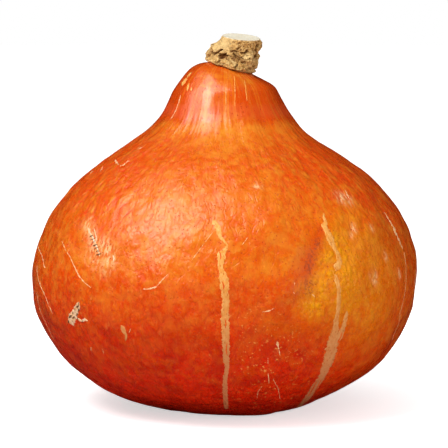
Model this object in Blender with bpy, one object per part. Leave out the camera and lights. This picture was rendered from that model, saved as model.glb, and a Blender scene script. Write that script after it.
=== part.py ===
"""An onion-shaped winter squash, standing on its blossom end: the fruit, and the cut corky stem on top of its neck.

Metres, +Z up. The origin is on the surface that the squash stands on, under the middle of the fruit.
The viewer looks along +Y, so azimuth 0 faces -Y, and +X is to the right.
"""

import math

import bmesh
import bpy
import numpy as np
from mathutils import Vector, noise
from mathutils.bvhtree import BVHTree

# The fruit
FRUIT_WIDTH = 0.169
FRUIT_HEIGHT = 0.151
FRUIT_SEGMENTS = 80
RINGS_PER_SPAN = 2

# The fruit's turned outline from the blossom end to the stem, as shares of half its width and of its height.
# The first points are the small button of the blossom scar, in its dimple. What lies below 0 is pressed flat.
OUTLINE = (
    (0.000, 0.0130),
    (0.045, 0.0135),
    (0.080, 0.0190),
    (0.130, 0.0105),
    (0.200, -0.0030),
    (0.330, -0.0050),
    (0.435, 0.0090),
    (0.545, 0.032),
    (0.690, 0.074),
    (0.817, 0.132),
    (0.893, 0.190),
    (0.947, 0.250),
    (0.984, 0.305),
    (0.997, 0.365),
    (0.988, 0.435),
    (0.922, 0.542),
    (0.853, 0.600),
    (0.763, 0.658),
    (0.635, 0.716),
    (0.476, 0.775),
    (0.407, 0.804),
    (0.359, 0.833),
    (0.323, 0.862),
    (0.295, 0.892),
    (0.258, 0.931),
    (0.183, 0.970),
    (0.100, 0.992),
    (0.000, 1.000),
)

# The middle of the fruit wanders from the Z axis: share of the height, and the ways to +X and +Y
LEAN = (
    (0.00, 0.0009, -0.0004),
    (0.03, -0.0011, -0.0004),
    (0.15, -0.0002, -0.0004),
    (0.48, 0.0000, -0.0004),
    (0.58, 0.0004, -0.0003),
    (0.70, 0.0003, -0.0002),
    (0.78, 0.0001, 0.0003),
    (0.84, 0.0008, 0.0006),
    (0.92, 0.0003, 0.0004),
    (1.00, 0.0010, 0.0000),
)
TOP_TILT = math.radians(13.0)
TOP_TILT_FROM = 0.92

# Ten bundles of vessels run from stem to blossom end, each in a faint groove
GROOVES = 10
GROOVE_ON_NECK = 0.00020
GROOVE_ON_BODY = 0.00022
NECK_FROM = 0.78

# Slow swellings of the skin: height, waves round the fruit, waves up it, phase
SWELLINGS = (
    (0.00060, 2, 0.1, -1.4),
    (0.00030, 3, -0.2, 3.6),
    (0.00030, 5, 1.5, 0.9),
    (0.00025, 8, -2.5, 4.0),
    (0.00022, 13, 4.0, 1.7),
    (0.00018, 17, -5.0, 3.1),
)

# Shallow dents and, with a depth below 0, bulges: azimuth in degrees, share of the height, half width, half height, depth
DENTS = (
    (26.0, 0.450, 0.0060, 0.0150, 0.0011),
    (-8.0, 0.640, 0.0130, 0.0080, 0.0006),
    (151.0, 0.520, 0.0100, 0.0140, 0.0009),
    (-122.0, 0.300, 0.0120, 0.0080, 0.0007),
    (82.0, 0.070, 0.0260, 0.0070, 0.0025),
    (-80.0, 0.070, 0.0300, 0.0080, 0.0009),
    (-88.0, 0.380, 0.0400, 0.0150, -0.0005),
    (-30.0, 0.022, 0.0400, 0.0060, 0.0034),
    (28.0, 0.026, 0.0140, 0.0050, -0.0030),
    (84.0, 0.968, 0.0520, 0.0040, -0.0024),
)

# The stem
STEM_FOOT = Vector((0.0027, 0.0, 0.0))
STEM_TOP = Vector((0.0075, -0.0010, 0.1624))
STEM_TOP_TILT = math.radians(5.5)
STEM_TOP_NOD = math.radians(8.0)
STEM_GAP = 0.0003
STEM_SEGMENTS = 56
STEM_RINGS = 20
CUT_RINGS = 4
FOOT_RINGS = 3
CUT_DISH = 0.0004

# The stem's outline from foot to cut: share of its length, and its radius
STEM_OUTLINE = (
    (0.00, 0.0095),
    (0.08, 0.0103),
    (0.14, 0.0103),
    (0.30, 0.0102),
    (0.45, 0.0096),
    (0.60, 0.0090),
    (0.80, 0.0084),
    (0.93, 0.0084),
    (1.00, 0.0081),
)

# Lumps of cork on the stem: azimuth in degrees, share of its length, half width in degrees, half length, height
STEM_LUMPS = (
    (-85.0, 0.50, 38.0, 0.24, 0.0027),
    (-20.0, 0.22, 30.0, 0.10, 0.0010),
    (35.0, 0.42, 24.0, 0.10, 0.0009),
    (82.0, 0.78, 17.0, 0.11, 0.0008),
    (80.0, 0.10, 34.0, 0.14, -0.0010),
    (120.0, 0.25, 30.0, 0.14, 0.0013),
    (165.0, 0.55, 34.0, 0.14, 0.0011),
    (-140.0, 0.72, 26.0, 0.12, 0.0010),
)
CRAG_HEIGHT = 0.0009
CRAG_SIZE = 0.0042

# Colours, roughness
SKIN_COLOUR = (0.86, 0.17, 0.02)
SKIN_ROUGHNESS = 0.36
CORK_COLOUR = (0.56, 0.38, 0.17)
CORK_ROUGHNESS = 0.88


def clear_scene():
    for leftover in list(bpy.data.objects):
        bpy.data.objects.remove(leftover)


def finish_material(name, colour, roughness):
    material = bpy.data.materials.new(name)
    material.use_nodes = True
    shader = material.node_tree.nodes["Principled BSDF"]
    shader.inputs["Base Color"].default_value = (*colour, 1.0)
    shader.inputs["Roughness"].default_value = roughness
    shader.inputs["Metallic"].default_value = 0.0
    return material


def smooth_step(low, high, value):
    share = min(max((value - low) / (high - low), 0.0), 1.0)
    return share * share * (3.0 - 2.0 * share)


def turned_outline(points, per_span):
    """Points on the smooth curve (Catmull-Rom) through the outline's own points, so many for each span."""
    knots = np.array(points, float)
    knots = np.vstack([2 * knots[0] - knots[1], knots, 2 * knots[-1] - knots[-2]])
    share = np.linspace(0.0, 1.0, per_span, endpoint=False)[:, None]
    pieces = []
    for before, start, end, after in zip(knots, knots[1:], knots[2:], knots[3:]):
        pull = 2 * start + (end - before) * share
        pull = pull + (2 * before - 5 * start + 4 * end - after) * share**2
        pieces.append(0.5 * (pull + (3 * start - before - 3 * end + after) * share**3))
    return np.vstack([*pieces, knots[-2:-1]])


def skin_relief(azimuth, radius, height):
    """How far the skin stands out from the turned shape. height is a share of the fruit's height."""
    on_neck = smooth_step(NECK_FROM, 0.92, height)
    groove = GROOVE_ON_BODY + (GROOVE_ON_NECK - GROOVE_ON_BODY) * on_neck
    relief = -groove * math.cos(GROOVES * azimuth)
    body = smooth_step(0.10, 0.75, radius / (FRUIT_WIDTH / 2))
    for swell, around, up, phase in SWELLINGS:
        relief += swell * body * math.sin(around * azimuth + 2 * math.pi * up * height + phase)
    for degrees, at_height, half_width, half_height, depth in DENTS:
        turn = math.remainder(azimuth - math.radians(degrees), 2 * math.pi)
        across = turn * FRUIT_WIDTH / 2 / half_width
        along = (height - at_height) * FRUIT_HEIGHT / half_height
        relief -= depth * math.exp(-across * across - along * along)
    return relief


def skin_point(azimuth, radius, z):
    """A point of the fruit's skin, from its azimuth and its place on the turned outline."""
    height = z / FRUIT_HEIGHT
    nearness = smooth_step(0.0, 0.35, radius / (FRUIT_WIDTH / 2))
    radius = max(radius + skin_relief(azimuth, radius, height) * nearness, 0.0)
    shares, to_right, to_back = zip(*LEAN)
    x = radius * math.sin(azimuth)
    y = -radius * math.cos(azimuth)
    z -= math.tan(TOP_TILT) * x * smooth_step(TOP_TILT_FROM, 1.0, height)
    x += np.interp(height, shares, to_right)
    y += np.interp(height, shares, to_back)
    return Vector((x, y, max(z, 0.0)))


def add_rings(mesh, rings, first_pole=None, last_pole=None):
    """Joins rings of vertices into one closed skin, with a fan or a flat face at each end."""
    count = len(rings[0])
    for lower, upper in zip(rings, rings[1:]):
        for k in range(count):
            after = (k + 1) % count
            mesh.faces.new((lower[k], lower[after], upper[after], upper[k]))
    for k in range(count):
        after = (k + 1) % count
        if first_pole:
            mesh.faces.new((first_pole, rings[0][after], rings[0][k]))
        if last_pole:
            mesh.faces.new((last_pole, rings[-1][k], rings[-1][after]))


def add_object(name, mesh, material):
    bmesh.ops.recalc_face_normals(mesh, faces=mesh.faces)
    data = bpy.data.meshes.new(name)
    mesh.to_mesh(data)
    mesh.free()
    data.shade_smooth()
    data.materials.append(material)
    made = bpy.data.objects.new(name, data)
    bpy.context.scene.collection.objects.link(made)
    return made


def build_fruit(material):
    outline = turned_outline(OUTLINE, RINGS_PER_SPAN) * (FRUIT_WIDTH / 2, FRUIT_HEIGHT)
    mesh = bmesh.new()
    rings = []
    for radius, z in outline[1:-1]:
        turns = [2 * math.pi * k / FRUIT_SEGMENTS for k in range(FRUIT_SEGMENTS)]
        rings.append([mesh.verts.new(skin_point(turn, radius, z)) for turn in turns])
    blossom_end = mesh.verts.new(skin_point(0.0, 0.0, outline[0][1]))
    stem_end = mesh.verts.new(skin_point(0.0, 0.0, outline[-1][1]))
    add_rings(mesh, rings, blossom_end, stem_end)
    return add_object("fruit", mesh, material)


def stem_radius(azimuth, share):
    """The stem's radius with its lumps of cork, before the crags."""
    radius = np.interp(share, [at for at, _ in STEM_OUTLINE], [wide for _, wide in STEM_OUTLINE])
    for degrees, at, half_turn, half_length, height in STEM_LUMPS:
        turn = math.degrees(math.remainder(azimuth - math.radians(degrees), 2 * math.pi))
        radius += height * math.exp(-((turn / half_turn) ** 2) - ((share - at) / half_length) ** 2)
    return radius


def stem_point(azimuth, share, radius_share, foot_height):
    """A point of the stem. share runs from the foot, which follows the fruit's top, to the tilted cut."""
    radius = stem_radius(azimuth, share) * radius_share
    across = Vector((math.sin(azimuth), -math.cos(azimuth), 0.0)) * radius
    foot = STEM_FOOT + across
    foot.z = foot_height(foot.x, foot.y) + STEM_GAP
    cut = STEM_TOP + across
    cut.z -= math.tan(STEM_TOP_TILT) * across.x - math.tan(STEM_TOP_NOD) * across.y
    return foot.lerp(cut, share)


def craggy(point, azimuth, share):
    """Moves a point of the stem's side in or out, as cracked cork does. Foot and cut keep their edges."""
    strength = smooth_step(0.0, 0.15, share) * (1.0 - 0.6 * smooth_step(0.88, 1.0, share))
    height = noise.noise(point / CRAG_SIZE) + 0.6 * noise.noise(point / (CRAG_SIZE * 0.45))
    out = Vector((math.sin(azimuth), -math.cos(azimuth), 0.0))
    return point + out * (CRAG_HEIGHT * height * strength)


def build_stem(fruit, material):
    surface = BVHTree.FromObject(fruit, bpy.context.evaluated_depsgraph_get())
    down = Vector((0.0, 0.0, -1.0))

    def foot_height(x, y):
        return surface.ray_cast(Vector((x, y, 2 * FRUIT_HEIGHT)), down)[0].z

    turns = [2 * math.pi * k / STEM_SEGMENTS for k in range(STEM_SEGMENTS)]
    mesh = bmesh.new()
    rings = []
    for k in range(1, FOOT_RINGS):
        points = [stem_point(turn, 0.0, k / FOOT_RINGS, foot_height) for turn in turns]
        rings.append([mesh.verts.new(point) for point in points])
    for k in range(STEM_RINGS + 1):
        share = k / STEM_RINGS
        points = [craggy(stem_point(turn, share, 1.0, foot_height), turn, share) for turn in turns]
        rings.append([mesh.verts.new(point) for point in points])
    for k in range(CUT_RINGS - 1, 0, -1):
        points = [stem_point(turn, 1.0, k / CUT_RINGS, foot_height) for turn in turns]
        dish = Vector((0.0, 0.0, CUT_DISH * (1.0 - (k / CUT_RINGS) ** 2)))
        rings.append([mesh.verts.new(point - dish) for point in points])
    foot_pole = mesh.verts.new(stem_point(0.0, 0.0, 0.0, foot_height))
    cut_pole = mesh.verts.new(STEM_TOP - Vector((0.0, 0.0, CUT_DISH)))
    add_rings(mesh, rings, foot_pole, cut_pole)
    return add_object("stem", mesh, material)


def main():
    clear_scene()
    fruit = build_fruit(finish_material("skin", SKIN_COLOUR, SKIN_ROUGHNESS))
    bpy.context.view_layer.update()
    build_stem(fruit, finish_material("cork", CORK_COLOUR, CORK_ROUGHNESS))


main()
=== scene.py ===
"""The finished look of an onion-shaped orange winter squash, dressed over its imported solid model.

Everything is in metres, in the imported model's own frame: +Z is up, the origin is on the surface that the
squash stands on, under the middle of the fruit, and the viewer looks along +Y with +X to the right. The
fruit, its cut stem and the cork, scabs and scratches in its skin are classes that build their own meshes.
"""

import logging
import math
import random
from dataclasses import dataclass, field
from enum import Enum

import bmesh
import bpy
import numpy as np
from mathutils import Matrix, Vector, noise
from mathutils.bvhtree import BVHTree

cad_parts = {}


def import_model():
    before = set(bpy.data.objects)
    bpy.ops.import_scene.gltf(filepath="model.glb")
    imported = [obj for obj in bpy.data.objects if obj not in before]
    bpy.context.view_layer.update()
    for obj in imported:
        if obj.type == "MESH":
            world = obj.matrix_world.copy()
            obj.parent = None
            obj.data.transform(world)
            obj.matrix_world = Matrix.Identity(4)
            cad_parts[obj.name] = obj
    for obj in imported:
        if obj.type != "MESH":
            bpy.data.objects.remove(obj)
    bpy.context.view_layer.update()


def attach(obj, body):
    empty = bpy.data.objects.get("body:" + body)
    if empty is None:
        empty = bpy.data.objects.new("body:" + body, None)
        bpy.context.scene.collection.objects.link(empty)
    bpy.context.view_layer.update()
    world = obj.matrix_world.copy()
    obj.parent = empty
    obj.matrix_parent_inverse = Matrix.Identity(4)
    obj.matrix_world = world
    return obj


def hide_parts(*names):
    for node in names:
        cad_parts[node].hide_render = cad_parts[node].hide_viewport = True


LOG = logging.getLogger("squash")
MM = 0.001
FULL_TURN = 2 * math.pi
# Patterns that follow the skin have their true size at this radius.
PATTERN_RADIUS = 0.085
WHITE = (1.0, 1.0, 1.0)

Colour = tuple[float, float, float]
Point = tuple[float, ...]


class Wire:
    """A value in a node tree. Python's operators on it add the nodes that work out the result."""

    def __init__(self, graph: "Graph", socket: bpy.types.NodeSocket) -> None:
        """Keeps the socket that gives the value, and the graph that new nodes go into."""
        self.graph = graph
        self.socket = socket

    def math(self, operation: str, *others: "Wire | float") -> "Wire":
        """Adds a Math node that takes this value first, and gives its result."""
        return self.graph.wire("ShaderNodeMath", dict(enumerate((self, *others))), operation=operation)

    def __add__(self, other: "Wire | float") -> "Wire":
        """Adds two values."""
        return self.math("ADD", other)

    def __sub__(self, other: "Wire | float") -> "Wire":
        """Takes another value from this one."""
        return self.math("SUBTRACT", other)

    def __rsub__(self, other: float) -> "Wire":
        """Takes this value from a number."""
        return self.graph.wire("ShaderNodeMath", {0: other, 1: self}, operation="SUBTRACT")

    def __mul__(self, other: "Wire | float") -> "Wire":
        """Multiplies two values."""
        return self.math("MULTIPLY", other)

    def __truediv__(self, other: "Wire | float") -> "Wire":
        """Divides this value by another."""
        return self.math("DIVIDE", other)

    def __neg__(self) -> "Wire":
        """Turns the value's sign round."""
        return self.math("MULTIPLY", -1.0)

    __radd__ = __add__
    __rmul__ = __mul__

    def step(
        self, low: "Wire | float", high: "Wire | float", bottom: float = 0.0, top: float = 1.0
    ) -> "Wire":
        """Rises smoothly from bottom at low to top at high. Low may be the larger of the two."""
        inputs = {"Value": self, "From Min": low, "From Max": high, "To Min": bottom, "To Max": top}
        return self.graph.wire("ShaderNodeMapRange", inputs, interpolation_type="SMOOTHSTEP")


class Graph:
    """Adds nodes to one node tree, of a material, a shader group or a Geometry Nodes modifier."""

    def __init__(self, tree: bpy.types.NodeTree) -> None:
        """Keeps the tree that the nodes go into."""
        self.tree = tree

    def plug(self, socket: bpy.types.NodeSocket, value: object) -> None:
        """Gives an input socket its value.

        Args:
            socket: The input socket.
            value: A wire, another node's output socket, or a plain value.
        """
        if isinstance(value, Wire):
            self.tree.links.new(value.socket, socket)
        elif isinstance(value, bpy.types.NodeSocket):
            self.tree.links.new(value, socket)
        elif socket.type == "RGBA":
            socket.default_value = (*value, 1.0)
        else:
            socket.default_value = value

    def node(self, kind: str, inputs: dict[str | int, object], **settings: object) -> bpy.types.Node:
        """Adds one node.

        Args:
            kind: Blender's name for the type of node.
            inputs: What goes into its input sockets, by their names or numbers.
            **settings: The node's own settings.

        Returns:
            The new node.
        """
        node = self.tree.nodes.new(kind)
        for name, value in settings.items():
            setattr(node, name, value)
        for key, value in inputs.items():
            named = [socket for socket in node.inputs if socket.name == key and socket.enabled]
            self.plug(named[0] if named else node.inputs[key], value)
        return node

    def wire(self, kind: str, inputs: dict[str | int, object], output: str = "", **settings: object) -> Wire:
        """Adds one node and takes one of its outputs.

        Args:
            kind: Blender's name for the type of node.
            inputs: What goes into its input sockets, by their names or numbers.
            output: The output's name. Where it is empty, the first output in use is taken.
            **settings: The node's own settings.

        Returns:
            The output.
        """
        node = self.node(kind, inputs, **settings)
        found = [socket for socket in node.outputs if socket.enabled and output in ("", socket.name)]
        return Wire(self, found[0])

    def vector(self, operation: str, first: object, second: object = None, **inputs: object) -> Wire:
        """Adds a Vector Math node."""
        sockets = {0: first, **inputs} if second is None else {0: first, 1: second, **inputs}
        return self.wire("ShaderNodeVectorMath", sockets, operation=operation)

    def split(self, vector: object) -> tuple[Wire, Wire, Wire]:
        """Gives a vector's X, Y and Z."""
        node = self.node("ShaderNodeSeparateXYZ", {0: vector})
        return tuple(Wire(self, socket) for socket in node.outputs)

    def join(self, x: object, y: object, z: object) -> Wire:
        """Makes a vector of three values."""
        return self.wire("ShaderNodeCombineXYZ", {0: x, 1: y, 2: z})

    @staticmethod
    def per(size: "Wire | float") -> "Wire | float":
        """Gives 1 over a size, for a texture's Scale."""
        return size.math("POWER", -1.0) if isinstance(size, Wire) else 1.0 / size

    def noise(self, vector: object, size: object, detail: float = 2.0, roughness: float = 0.5) -> Wire:
        """Adds a noise texture whose middle value is 0.5.

        Args:
            vector: The place.
            size: The size of its features, in the place's own units.
            detail: How many times finer noise is added.
            roughness: How strong the finer noise is.

        Returns:
            The noise.
        """
        inputs = {"Vector": vector, "Scale": self.per(size), "Detail": detail, "Roughness": roughness}
        return self.wire("ShaderNodeTexNoise", inputs, "Fac")

    def bend(self, vector: object, size: object, bend: object) -> Wire:
        """Shifts a place by a slow noise, so that a net of cells grows winding.

        Args:
            vector: The place.
            size: The size of the noise's features.
            bend: The largest shift, as a share of the size.

        Returns:
            The shifted place.
        """
        inputs = {"Vector": vector, "Scale": self.per(size), "Detail": 1.0}
        shift = self.vector("SUBTRACT", self.wire("ShaderNodeTexNoise", inputs, "Color"), (0.5, 0.5, 0.5))
        return self.vector("ADD", vector, self.vector("SCALE", shift, Scale=bend * size * 2.0))

    def bulges(self, vector: object, size: object, bend: object = 0.45) -> Wire:
        """Adds rounded bulges that meet in creases.

        Args:
            vector: The place.
            size: The size of a bulge.
            bend: How winding the creases are, as a share of the size.

        Returns:
            The height: 0 in a crease, 1 on the top of a bulge.
        """
        inputs = {"Vector": self.bend(vector, size, bend), "Scale": self.per(size)}
        return self.wire("ShaderNodeTexVoronoi", inputs, "Distance").step(0.85, 0.10)

    def mix(self, share: object, first: object, second: object) -> Wire:
        """Mixes two colours."""
        return self.wire("ShaderNodeMix", {"Factor": share, "A": first, "B": second}, data_type="RGBA")

    def coat(self, ground: object, *coats: tuple[object, object]) -> Wire:
        """Lays colours over a ground, one after another.

        Args:
            ground: The ground's colour.
            *coats: For each coat how much it covers, from 0 to 1, and its colour.

        Returns:
            The colour that is seen.
        """
        for cover, colour in coats:
            ground = self.mix(cover, ground, colour)
        return ground

    def attribute(self, name: str) -> Wire:
        """Reads a number that the mesh holds at each point."""
        return self.wire("ShaderNodeAttribute", {}, "Fac", attribute_name=name)


class Recipe(Graph):
    """A node tree with named inputs and outputs: a shader group, or a Geometry Nodes modifier's tree."""

    def __init__(self, name: str, kind: str) -> None:
        """Starts an empty tree.

        Args:
            name: The tree's name.
            kind: ShaderNodeTree or GeometryNodeTree.
        """
        super().__init__(bpy.data.node_groups.new(name, kind))
        self.entry = self.tree.nodes.new("NodeGroupInput")
        self.exit = self.tree.nodes.new("NodeGroupOutput")

    def takes(self, name: str, kind: str, default: object = None) -> Wire:
        """Adds a named input.

        Args:
            name: Its name.
            kind: Float, Int, Vector, Object, Material or Geometry.
            default: Its value where none is given.

        Returns:
            The input, for the tree's own nodes.
        """
        socket = self.tree.interface.new_socket(name=name, in_out="INPUT", socket_type="NodeSocket" + kind)
        if default is not None:
            socket.default_value = default
        return Wire(self, self.entry.outputs[name])

    def takes_numbers(self, **defaults: float) -> list[Wire]:
        """Adds a named input for each number, with its default. An underscore stands for a space."""
        return [self.takes(name.replace("_", " "), "Float", value) for name, value in defaults.items()]

    def gives(self, name: str, kind: str, value: Wire) -> None:
        """Adds a named output and what goes into it."""
        self.tree.interface.new_socket(name=name, in_out="OUTPUT", socket_type="NodeSocket" + kind)
        self.plug(self.exit.inputs[name], value)

    def place(self, graph: Graph, output: str, **inputs: object) -> Wire:
        """Places this shader group in another tree, and gives one of its outputs."""
        sockets = {name.replace("_", " "): value for name, value in inputs.items()}
        return graph.wire("ShaderNodeGroup", sockets, output, node_tree=self.tree)

    def store(self, mesh: Wire, name: str, kind: str, value: object, domain: str = "POINT") -> Wire:
        """Keeps a value on the mesh under a name."""
        inputs = {"Geometry": mesh, "Name": name, "Value": value}
        return self.wire("GeometryNodeStoreNamedAttribute", inputs, data_type=kind, domain=domain)

    def stored(self, name: str, kind: str = "FLOAT") -> Wire:
        """Reads a value that is kept on the mesh."""
        return self.wire("GeometryNodeInputNamedAttribute", {"Name": name}, "Attribute", data_type=kind)

    def finish(self, mesh: Wire, material: Wire) -> None:
        """Ends a Geometry Nodes tree: no instances are left, faces are smooth, and the finish is on.

        Args:
            mesh: The tree's mesh.
            material: The finish.
        """
        mesh = self.wire("GeometryNodeRealizeInstances", {"Geometry": mesh})
        mesh = self.wire("GeometryNodeSetShadeSmooth", {"Geometry": mesh, "Shade Smooth": True})
        mesh = self.wire("GeometryNodeSetMaterial", {"Geometry": mesh, "Material": material})
        self.gives("Geometry", "Geometry", mesh)


def grow(name: str, start: bpy.types.Mesh, recipe: Recipe, values: dict[str, object]) -> bpy.types.Object:
    """Runs a Geometry Nodes tree on a mesh, and keeps the result as a plain mesh.

    Args:
        name: The finished piece's name.
        start: The mesh that the tree starts from.
        recipe: The tree.
        values: The tree's inputs, by name.

    Returns:
        The finished piece, with no modifier.
    """
    holder = bpy.data.objects.new(name + "_start", start)
    bpy.context.scene.collection.objects.link(holder)
    modifier = holder.modifiers.new(recipe.tree.name, "NODES")
    modifier.node_group = recipe.tree
    for socket in recipe.tree.interface.items_tree:
        if socket.in_out == "INPUT" and socket.name in values:
            modifier[socket.identifier] = values[socket.name]
    bpy.context.view_layer.update()
    depsgraph = bpy.context.evaluated_depsgraph_get()
    mesh = bpy.data.meshes.new_from_object(
        holder.evaluated_get(depsgraph), preserve_all_data_layers=True, depsgraph=depsgraph
    )
    holder.modifiers.clear()
    bpy.data.objects.remove(holder)
    return add_piece(name, mesh)


def add_piece(name: str, mesh: bpy.types.Mesh) -> bpy.types.Object:
    """Adds an object at the origin for a mesh that is already in its place.

    Args:
        name: The object's and the mesh's name.
        mesh: The mesh.

    Returns:
        The new object.
    """
    mesh.name = name
    piece = bpy.data.objects.new(name, mesh)
    bpy.context.scene.collection.objects.link(piece)
    return piece


def wear(piece: bpy.types.Object, slot: str, *nodes: str) -> None:
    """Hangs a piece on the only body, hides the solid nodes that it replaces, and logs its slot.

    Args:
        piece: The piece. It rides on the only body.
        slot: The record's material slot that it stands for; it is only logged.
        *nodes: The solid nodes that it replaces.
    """
    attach(piece, "root")
    if nodes:
        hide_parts(*nodes)
    LOG.info("%s: %d faces, slot %s", piece.name, len(piece.data.polygons), slot)


def smooth_step(low: float, high: float, value: np.ndarray | float) -> np.ndarray | float:
    """Rises smoothly from 0 at low to 1 at high."""
    share = np.clip((value - low) / (high - low), 0.0, 1.0)
    return share * share * (3.0 - 2.0 * share)


def turned_outline(points: tuple[Point, ...], per_span: int) -> np.ndarray:
    """Lays a smooth curve (Catmull-Rom) through an outline's own points.

    Args:
        points: The outline's points.
        per_span: How many points the curve gets from one of them to the next.

    Returns:
        The curve's points.
    """
    knots = np.array(points, float)
    knots = np.vstack([2 * knots[0] - knots[1], knots, 2 * knots[-1] - knots[-2]])
    share = np.linspace(0.0, 1.0, per_span, endpoint=False)[:, None]
    pieces = []
    for before, start, end, after in zip(knots, knots[1:], knots[2:], knots[3:]):
        pull = 2 * start + (end - before) * share
        pull = pull + (2 * before - 5 * start + 4 * end - after) * share**2
        pieces.append(0.5 * (pull + (3 * start - before - 3 * end + after) * share**3))
    return np.vstack([*pieces, knots[-2:-1]])


@dataclass(frozen=True)
class PhotoView:
    """Where the photograph was taken from. A pixel of it names a line of sight."""

    pixels: float = 448.0
    distance: float = 1.0
    lens_mm: float = 182.0
    sensor_mm: float = 36.0
    elevation: float = math.radians(6.0)
    aim: Point = (-0.0002, 0.0, 0.0800)

    def axes(self) -> tuple[Vector, Vector, Vector]:
        """Works out how the camera is turned.

        Returns:
            The directions that are right, up and ahead in the picture.
        """
        ahead = Vector((0.0, math.cos(self.elevation), -math.sin(self.elevation)))
        right = Vector((1.0, 0.0, 0.0))
        return right, right.cross(ahead), ahead

    def eye(self) -> Vector:
        """Gives the camera's place."""
        return Vector(self.aim) - self.axes()[2] * self.distance

    def sight(self, x: float, y: float) -> Vector:
        """Works out a line of sight.

        Args:
            x: The pixel's place from the picture's left edge.
            y: The pixel's place from the picture's top edge.

        Returns:
            The direction of the line of sight through the pixel.
        """
        right, up, ahead = self.axes()
        spread = self.sensor_mm / self.lens_mm / self.pixels
        half = self.pixels / 2
        return (ahead + right * ((x - half) * spread) + up * ((half - y) * spread)).normalized()

    def add_camera(self) -> None:
        """Adds the camera and makes it the scene's own."""
        data = bpy.data.cameras.new("photo_view")
        data.lens = self.lens_mm
        data.sensor_width = self.sensor_mm
        camera = bpy.data.objects.new("photo_view", data)
        camera.location = self.eye()
        camera.rotation_euler = self.axes()[2].to_track_quat("-Z", "Y").to_euler()
        bpy.context.scene.collection.objects.link(camera)
        bpy.context.scene.camera = camera


class Effects:
    """Shader groups that more than one finish uses. Sizes are in the units of the vector that comes in."""

    def __init__(self) -> None:
        """Builds each group once."""
        self.blotches = self.build_blotches()
        self.creases = self.build_creases()
        self.bulges = self.build_bulges()
        self.pores = self.build_pores()
        self.net = self.build_net()

    @staticmethod
    def build_blotches() -> Recipe:
        """Builds soft-edged patches.

        Returns:
            The group. Mask is 1 inside a patch. Low and High set how much of the surface patches cover.
        """
        recipe = Recipe("blotches", "ShaderNodeTree")
        vector = recipe.takes("Vector", "Vector")
        size, low, high = recipe.takes_numbers(Size=0.004, Low=0.45, High=0.65)
        recipe.gives("Mask", "Float", recipe.noise(vector, size, 3.0, 0.55).step(low, high))
        return recipe

    @staticmethod
    def build_net() -> Recipe:
        """Builds a winding net of thin creases.

        Returns:
            The group. Mask is 1 in a crease and falls to 0 at Width, a share of a cell.
        """
        recipe = Recipe("net", "ShaderNodeTree")
        vector = recipe.takes("Vector", "Vector")
        size, bend, width = recipe.takes_numbers(Size=0.004, Bend=0.45, Width=0.15)
        inputs = {"Vector": recipe.bend(vector, size, bend), "Scale": recipe.per(size)}
        gap = recipe.wire("ShaderNodeTexVoronoi", inputs, "Distance", feature="DISTANCE_TO_EDGE")
        recipe.gives("Mask", "Float", gap.step(width, 0.0))
        return recipe

    @staticmethod
    def build_creases() -> Recipe:
        """Builds winding creases, as in leather.

        Returns:
            The group. Height is 1 between creases and falls to 0 in them.
        """
        recipe = Recipe("creases", "ShaderNodeTree")
        vector = recipe.takes("Vector", "Vector")
        size, width = recipe.takes_numbers(Size=0.002, Width=0.2)
        inputs = {"Vector": vector, "Scale": recipe.per(size), "Detail": 1.5}
        swirl = recipe.wire("ShaderNodeTexNoise", inputs, "Fac")
        away = (swirl - 0.5).math("ABSOLUTE") * 6.0
        recipe.gives("Height", "Float", away.step(0.0, width * 4.0))
        return recipe

    @staticmethod
    def build_bulges() -> Recipe:
        """Builds rounded bulges that meet in creases.

        Returns:
            The group. Height is 0 in a crease and 1 on the top of a bulge.
        """
        recipe = Recipe("bulges", "ShaderNodeTree")
        vector = recipe.takes("Vector", "Vector")
        size, bend = recipe.takes_numbers(Size=0.004, Bend=0.45)
        recipe.gives("Height", "Float", recipe.bulges(vector, size, bend))
        return recipe

    @staticmethod
    def build_pores() -> Recipe:
        """Builds small round dots, one in some of the cells of a random net.

        Returns:
            The group. Mask is 1 in a dot. Share is how many of the cells have one.
        """
        recipe = Recipe("pores", "ShaderNodeTree")
        vector = recipe.takes("Vector", "Vector")
        size, share, radius = recipe.takes_numbers(Size=0.0015, Share=0.5, Radius=0.25)
        cells = recipe.node("ShaderNodeTexVoronoi", {"Vector": vector, "Scale": recipe.per(size)})
        picked = Wire(recipe, cells.outputs["Color"]).math("LESS_THAN", share)
        dot = Wire(recipe, cells.outputs["Distance"]).step(radius, radius * 0.5)
        recipe.gives("Mask", "Float", dot * picked)
        return recipe


def start_finish(
    name: str, roughness: float, **uniform: float
) -> tuple[bpy.types.Material, Graph, bpy.types.Node]:
    """Starts a material.

    Args:
        name: The material's name.
        roughness: The roughness where no node sets it.
        **uniform: Other inputs of the Principled BSDF that are the same all over the surface.

    Returns:
        The material, its graph and its Principled BSDF.
    """
    material = bpy.data.materials.new(name)
    material.use_nodes = True
    shader = material.node_tree.nodes["Principled BSDF"]
    shader.inputs["Roughness"].default_value = roughness
    for key, value in uniform.items():
        shader.inputs[key.replace("_", " ")].default_value = value
    return material, Graph(material.node_tree), shader


def raise_surface(graph: Graph, shader: bpy.types.Node, height: Wire, distance: float) -> None:
    """Feeds a height, in units of distance, through a Bump node into the shader's normal."""
    bump = graph.node("ShaderNodeBump", {"Strength": 1.0, "Distance": distance, "Height": height})
    graph.plug(shader.inputs["Normal"], bump.outputs["Normal"])


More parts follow.
